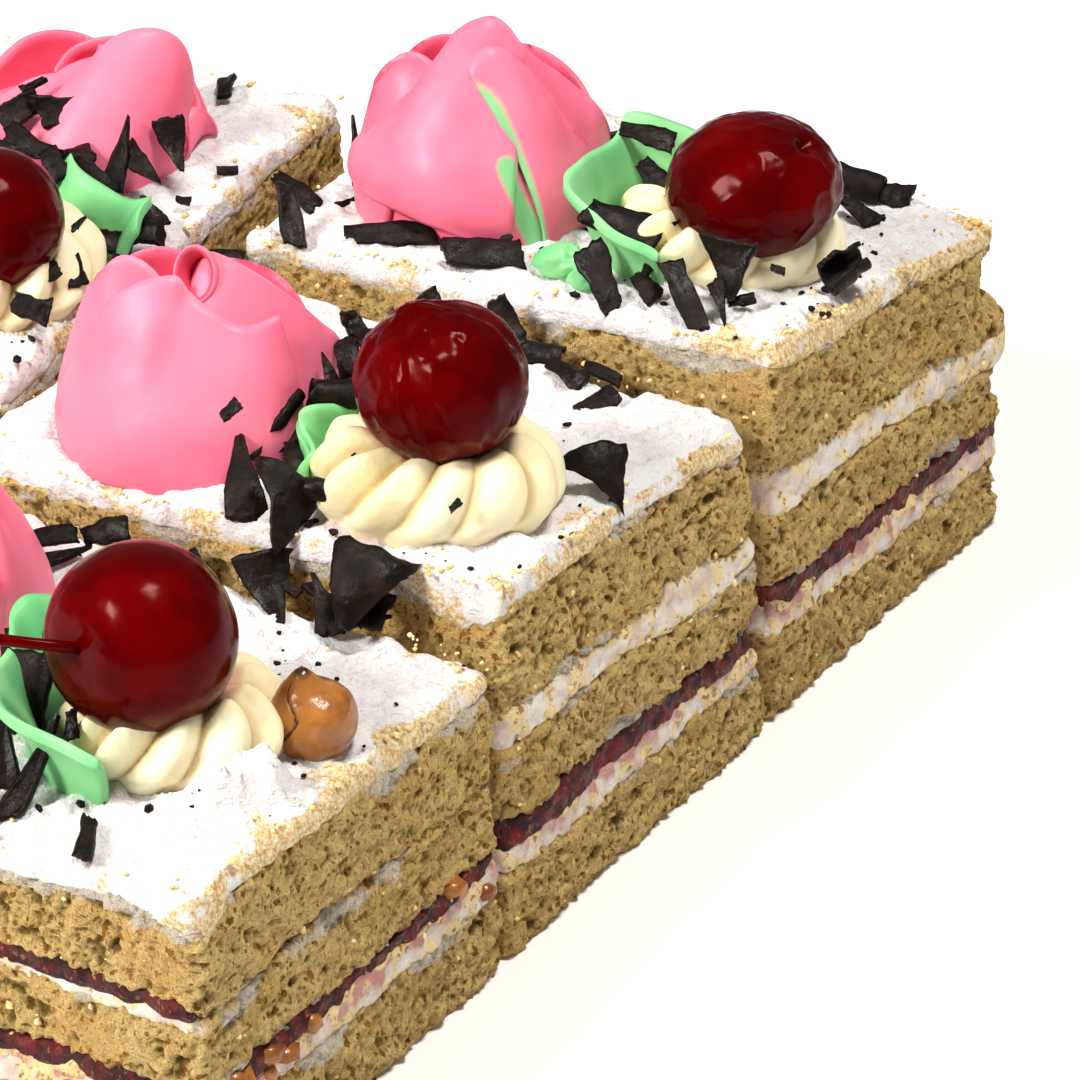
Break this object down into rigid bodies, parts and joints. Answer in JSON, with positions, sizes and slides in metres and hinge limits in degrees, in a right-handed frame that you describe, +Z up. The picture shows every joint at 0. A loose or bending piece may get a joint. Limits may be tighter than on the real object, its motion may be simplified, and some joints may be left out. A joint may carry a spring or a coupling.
{
  "type": "layered cherry cream cake block",
  "caption": "Block of cut layered sponge cake slices with cream and cherry jam fillings, white frosting, piped roses, rosettes, leaves, cherries and chocolate shards.",
  "frame": {"origin": "middle of the block's bounding box, on the plane that the slices stand on", "axes": "+X along the row's slices towards their cherries, +Y along the row from the front slice to the back one, +Z up"},
  "size_m": [0.1389, 0.1747, 0.0695],
  "materials": {
    "sponge": "matte",
    "cream": "matte",
    "jam": "satin",
    "frosting": "matte",
    "rose": "satin",
    "leaf": "satin",
    "rosette": "satin",
    "cherry": "glossy",
    "hazelnut": "glossy",
    "chocolate": "satin"
  },
  "bodies": {
    "root": {"slice1_sponge_bottom": "sponge", "slice1_cream_lower": "cream", "slice1_jam": "jam", "slice1_sponge_middle": "sponge", "slice1_cream_upper": "cream", "slice1_jam_upper": "jam", "slice1_sponge_top": "sponge", "slice1_frosting": "frosting", "slice1_rose": "rose", "slice1_leaf": "leaf", "slice1_rosette": "rosette", "slice1_cherry": "cherry", "slice1_hazelnut": "hazelnut", "slice2_sponge_bottom": "sponge", "slice2_cream_lower": "cream", "slice2_jam": "jam", "slice2_sponge_middle": "sponge", "slice2_cream_upper": "cream", "slice2_sponge_top": "sponge", "slice2_frosting": "frosting", "slice2_rose": "rose", "slice2_leaf": "leaf", "slice2_rosette": "rosette", "slice2_cherry": "cherry", "slice3_sponge_bottom": "sponge", "slice3_cream_lower": "cream", "slice3_jam": "jam", "slice3_sponge_middle": "sponge", "slice3_cream_upper": "cream", "slice3_sponge_top": "sponge", "slice3_frosting": "frosting", "slice3_rose": "rose", "slice3_leaf": "leaf", "slice3_rosette": "rosette", "slice3_cherry": "cherry", "slice4_sponge_bottom": "sponge", "slice4_cream_lower": "cream", "slice4_jam": "jam", "slice4_sponge_middle": "sponge", "slice4_cream_upper": "cream", "slice4_sponge_top": "sponge", "slice4_frosting": "frosting", "slice4_rose": "rose", "slice4_leaf": "leaf", "slice4_rosette": "rosette", "slice4_cherry": "cherry"}
  },
  "joints": []
}
